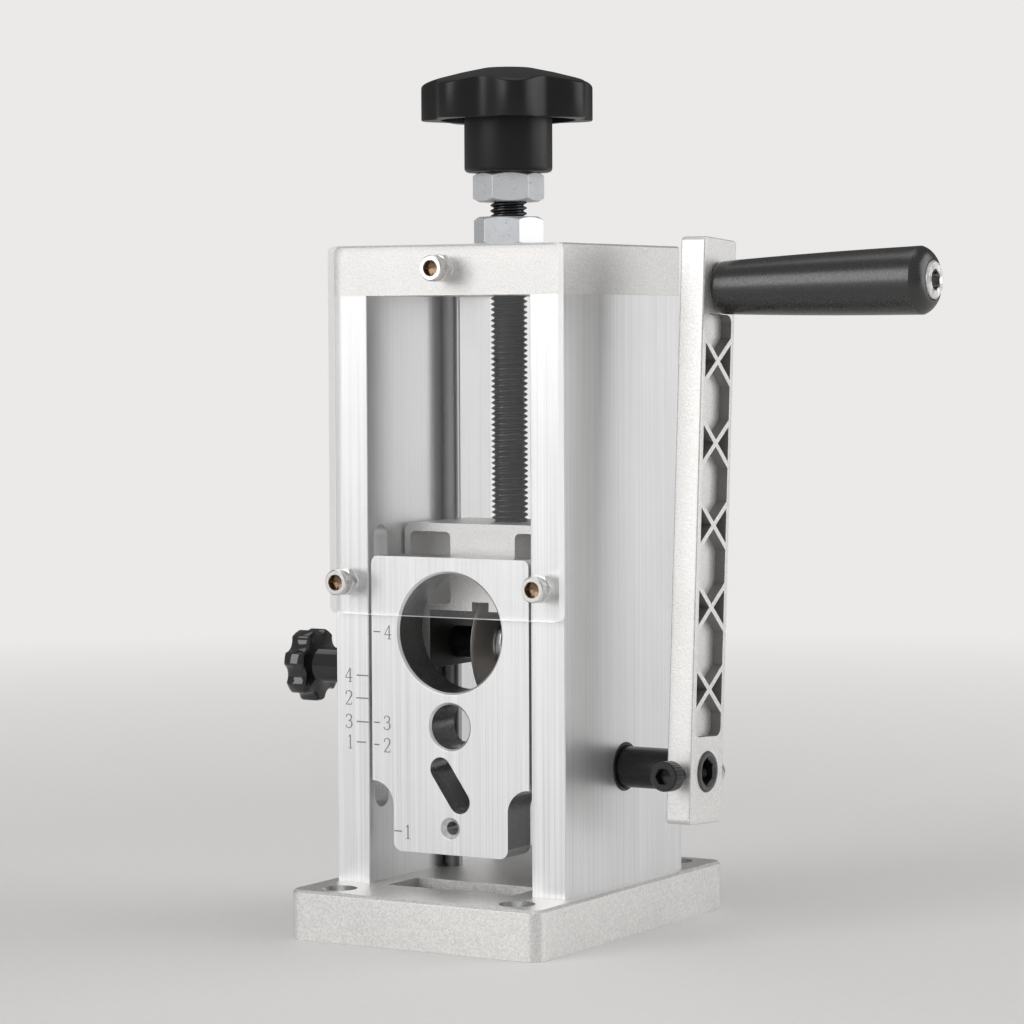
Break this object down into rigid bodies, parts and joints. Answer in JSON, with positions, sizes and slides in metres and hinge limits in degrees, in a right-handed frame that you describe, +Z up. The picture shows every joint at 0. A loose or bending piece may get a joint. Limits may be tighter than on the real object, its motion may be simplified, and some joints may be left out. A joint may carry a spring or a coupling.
{
  "type": "hand crank wire stripper",
  "caption": "Bench wire stripper: a hand crank turns a feed roller under a round blade on a screw-set slide, behind a sliding guide plate with wire holes.",
  "frame": {"origin": "middle of the base's underside, on the lead screw's axis", "axes": "+Z up along the lead screw, +X along the drive shaft to the crank, -Y to the front with the guide plate"},
  "size_m": [0.1752, 0.1046, 0.235],
  "materials": {
    "cast_aluminium": "bead-blasted casting",
    "brushed_aluminium": "brushed along its height",
    "zinc_steel": "bright zinc plate",
    "bright_steel": "polished stainless",
    "polished_steel": "ground and polished",
    "blade_steel": "ground tool steel",
    "black_oxide": "black oxide",
    "matte_black": "matt moulded plastic",
    "gloss_black": "gloss moulded plastic",
    "grip_black": "satin moulded plastic",
    "brass": "turned brass",
    "bronze": "sintered bronze",
    "clear_acrylic": "clear sheet with polished edges"
  },
  "bodies": {
    "housing": {"base_plate": "cast_aluminium", "base_screws": "zinc_steel", "left_side_plate": "brushed_aluminium", "right_side_plate": "brushed_aluminium", "top_cap": "cast_aluminium", "cap_screws": "zinc_steel", "window_cover": "clear_acrylic", "cover_nuts": "bright_steel", "cover_screws": "bright_steel", "left_guide_rod": "polished_steel", "right_guide_rod": "polished_steel", "left_shaft_bush": "bronze", "right_shaft_bush": "black_oxide"},
    "lock_nut": {"lock_nut": "zinc_steel"},
    "carriage": {"blade_carriage": "cast_aluminium", "blade_axle": "polished_steel", "axle_spacers": "polished_steel", "axle_set_screws": "black_oxide", "screw_retainer": "zinc_steel", "retainer_screws": "black_oxide"},
    "lead_screw": {"lead_screw": "black_oxide", "adjusting_knob": "matte_black", "knob_insert": "brass", "jam_nut": "zinc_steel"},
    "blade": {"round_blade": "blade_steel", "blade_hub": "polished_steel", "blade_hub_nut": "polished_steel"},
    "guide": {"guide_plate": "brushed_aluminium", "guide_pin": "polished_steel"},
    "lock_knob": {"lock_knob": "gloss_black", "lock_stud": "zinc_steel"},
    "crank": {"drive_shaft": "black_oxide", "shaft_retaining_ring": "black_oxide", "feed_roller": "polished_steel", "roller_set_screw": "black_oxide", "crank_arm": "cast_aluminium", "clamp_bolt": "black_oxide", "clamp_nut": "zinc_steel", "grip_bolt": "bright_steel", "grip_washer": "bright_steel"},
    "grip": {"crank_grip": "grip_black"}
  },
  "joints": [
    {"name": "carriage_slide", "type": "slide", "parent": "housing", "child": "carriage", "axis": [0, 0, 1], "range_m": [-0.004, 0.06]},
    {"name": "knob_turn", "type": "hinge", "parent": "carriage", "child": "lead_screw", "pos_m": [0, 0, 0.15], "axis": [0, 0, 1], "range_deg": [-960.2, 14400.5]},
    {"name": "blade_spin", "type": "hinge", "parent": "carriage", "child": "blade", "pos_m": [0, 0, 0.0773], "axis": [1, 0, 0], "continuous": true},
    {"name": "lock_nut_turn", "type": "hinge", "parent": "housing", "child": "lock_nut", "pos_m": [0, 0, 0.1905], "axis": [0, 0, 1], "range_deg": [0, 180]},
    {"name": "plate_slide", "type": "slide", "parent": "housing", "child": "guide", "axis": [0, 0, 1], "range_m": [-0.02, 0.0345]},
    {"name": "lock_knob_turn", "type": "hinge", "parent": "guide", "child": "lock_knob", "pos_m": [-0.0449, -0.0262, 0.0718], "axis": [-1, 0, 0], "range_deg": [0, 360]},
    {"name": "crank_turn", "type": "hinge", "parent": "housing", "child": "crank", "pos_m": [0.0575, 0, 0.0455], "axis": [1, 0, 0], "continuous": true},
    {"name": "grip_spin", "type": "hinge", "parent": "crank", "child": "grip", "pos_m": [0.09199, 0.00795, 0.17542], "axis": [0.9997, 0.0015, 0.0244], "continuous": true}
  ],
  "couplings": [
    {"joint": "knob_turn", "follows": "carriage_slide", "rad_per_m": 4188.8}
  ]
}
